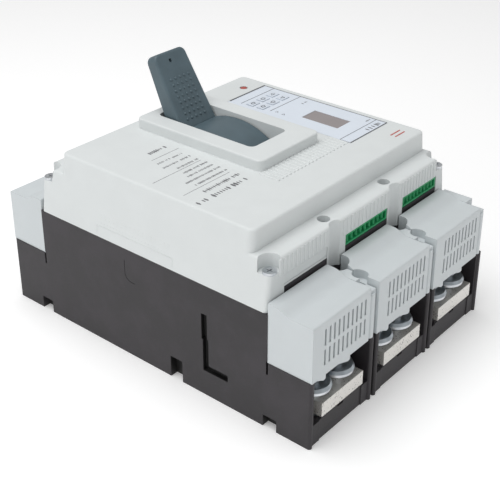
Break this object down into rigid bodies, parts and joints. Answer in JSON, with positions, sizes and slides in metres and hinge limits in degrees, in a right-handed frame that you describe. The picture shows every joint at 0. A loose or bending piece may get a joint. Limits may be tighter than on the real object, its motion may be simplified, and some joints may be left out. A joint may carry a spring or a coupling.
{
  "type": "moulded-case air circuit breaker",
  "caption": "Three-pole moulded-case air circuit breaker with toggle handle, electronic trip unit and hooded bolt terminals at both ends.",
  "frame": {"origin": "centre of the flat back face, the face that goes against the mounting plate", "axes": "+X across the poles, +Y towards the load end, +Z out of the operating face"},
  "size_m": [0.21, 0.282, 0.1872],
  "materials": {
    "charcoal_moulding": "fine mottled texture",
    "grey_moulding": "satin",
    "terminal_cover_grey": "satin",
    "handle_slate": "satin",
    "tinned_bar": "speckled tin plate",
    "contact_copper": "bare copper",
    "zinc_steel": "bright zinc",
    "dark_steel": "plain",
    "spring_steel": "plain",
    "chute_fibre": "plain",
    "sensor_resin": "plain",
    "unit_black": "plain",
    "board_green": "solder mask",
    "label_film": "printed film",
    "display_grey": "unlit",
    "key_grey": "satin",
    "button_red": "satin",
    "connector_green": "satin",
    "pin_tin": "bright"
  },
  "bodies": {
    "case": {"base": "charcoal_moulding", "front_cover": "grey_moulding", "blank_plate": "grey_moulding", "line_cover_left": "terminal_cover_grey", "line_cover_middle": "terminal_cover_grey", "line_cover_right": "terminal_cover_grey", "load_cover_left": "terminal_cover_grey", "load_cover_middle": "terminal_cover_grey", "load_cover_right": "terminal_cover_grey", "line_bar_left": "tinned_bar", "line_bar_middle": "tinned_bar", "line_bar_right": "tinned_bar", "load_bar_left": "tinned_bar", "load_bar_middle": "tinned_bar", "load_bar_right": "tinned_bar", "braid_left": "contact_copper", "braid_middle": "contact_copper", "braid_right": "contact_copper", "terminal_bolts": "zinc_steel", "conical_washers": "zinc_steel", "flat_washers": "zinc_steel", "captive_nuts": "zinc_steel", "cover_screws": "zinc_steel", "mechanism_plate_left": "dark_steel", "mechanism_plate_right": "dark_steel", "cradle": "dark_steel", "handle_pivot_pin": "dark_steel", "arc_chute_left": "chute_fibre", "arc_chute_middle": "chute_fibre", "arc_chute_right": "chute_fibre", "current_sensor_left": "sensor_resin", "current_sensor_middle": "sensor_resin", "current_sensor_right": "sensor_resin", "trip_unit_housing": "unit_black", "trip_actuator": "unit_black", "trip_circuit_board": "board_green", "trip_faceplate": "label_film", "display_window": "display_grey", "signal_header_middle": "connector_green", "signal_header_right": "connector_green", "header_pins": "pin_tin"},
    "handle": {"handle_grip": "handle_slate", "handle_shield": "handle_slate", "handle_yoke": "dark_steel", "main_springs": "spring_steel"},
    "upper_links": {"upper_toggle_links": "dark_steel", "knee_pin": "dark_steel"},
    "lower_links": {"lower_toggle_links": "dark_steel"},
    "contacts": {"contact_shaft": "sensor_resin", "contact_arm_left": "contact_copper", "contact_arm_middle": "contact_copper", "contact_arm_right": "contact_copper"},
    "trip_bar": {"trip_bar": "unit_black"},
    "trip_button": {"trip_button": "button_red"},
    "key_1": {"trip_key_1": "key_grey"},
    "key_2": {"trip_key_2": "key_grey"},
    "key_3": {"trip_key_3": "key_grey"},
    "key_4": {"trip_key_4": "key_grey"},
    "key_5": {"trip_key_5": "key_grey"},
    "key_6": {"trip_key_6": "key_grey"}
  },
  "joints": [
    {"name": "handle_swing", "type": "hinge", "parent": "case", "child": "handle", "pos_m": [0, 0.023, 0.0816], "axis": [1, 0, 0], "range_deg": [0, 56]},
    {"name": "contact_swing", "type": "hinge", "parent": "case", "child": "contacts", "pos_m": [0, 0.002, 0.052], "axis": [1, 0, 0], "range_deg": [0, 26.1]},
    {"name": "upper_link_swing", "type": "hinge", "parent": "case", "child": "upper_links", "pos_m": [0, 0.024, 0.0904], "axis": [1, 0, 0], "range_deg": [0, 18.1]},
    {"name": "knee_swing", "type": "hinge", "parent": "upper_links", "child": "lower_links", "pos_m": [0, 0.03532, 0.08216], "axis": [1, 0, 0], "range_deg": [-24.5, 0]},
    {"name": "trip_bar_swing", "type": "hinge", "parent": "case", "child": "trip_bar", "pos_m": [0, 0.078, 0.097], "axis": [1, 0, 0], "range_deg": [0, 11], "stiffness_Nm_per_rad": 0.25, "springref_deg": -2.86},
    {"name": "trip_button_press", "type": "slide", "parent": "case", "child": "trip_button", "axis": [0, 0, -1], "range_m": [0, 0.002]},
    {"name": "key_1_press", "type": "slide", "parent": "case", "child": "key_1", "axis": [0, 0, -1], "range_m": [0, 0.0005], "stiffness_N_per_m": 600, "springref_m": -0.0002},
    {"name": "key_2_press", "type": "slide", "parent": "case", "child": "key_2", "axis": [0, 0, -1], "range_m": [0, 0.0005], "stiffness_N_per_m": 600, "springref_m": -0.0002},
    {"name": "key_3_press", "type": "slide", "parent": "case", "child": "key_3", "axis": [0, 0, -1], "range_m": [0, 0.0005], "stiffness_N_per_m": 600, "springref_m": -0.0002},
    {"name": "key_4_press", "type": "slide", "parent": "case", "child": "key_4", "axis": [0, 0, -1], "range_m": [0, 0.0005], "stiffness_N_per_m": 600, "springref_m": -0.0002},
    {"name": "key_5_press", "type": "slide", "parent": "case", "child": "key_5", "axis": [0, 0, -1], "range_m": [0, 0.0005], "stiffness_N_per_m": 600, "springref_m": -0.0002},
    {"name": "key_6_press", "type": "slide", "parent": "case", "child": "key_6", "axis": [0, 0, -1], "range_m": [0, 0.0005], "stiffness_N_per_m": 600, "springref_m": -0.0002}
  ],
  "couplings": [
    {"joint": "contact_swing", "follows": "handle_swing", "ratio": 0.46429},
    {"joint": "upper_link_swing", "follows": "handle_swing", "ratio": 0.3221},
    {"joint": "knee_swing", "follows": "handle_swing", "ratio": -0.4345},
    {"joint": "trip_button_press", "follows": "trip_bar_swing", "m_per_rad": 0.0103}
  ]
}
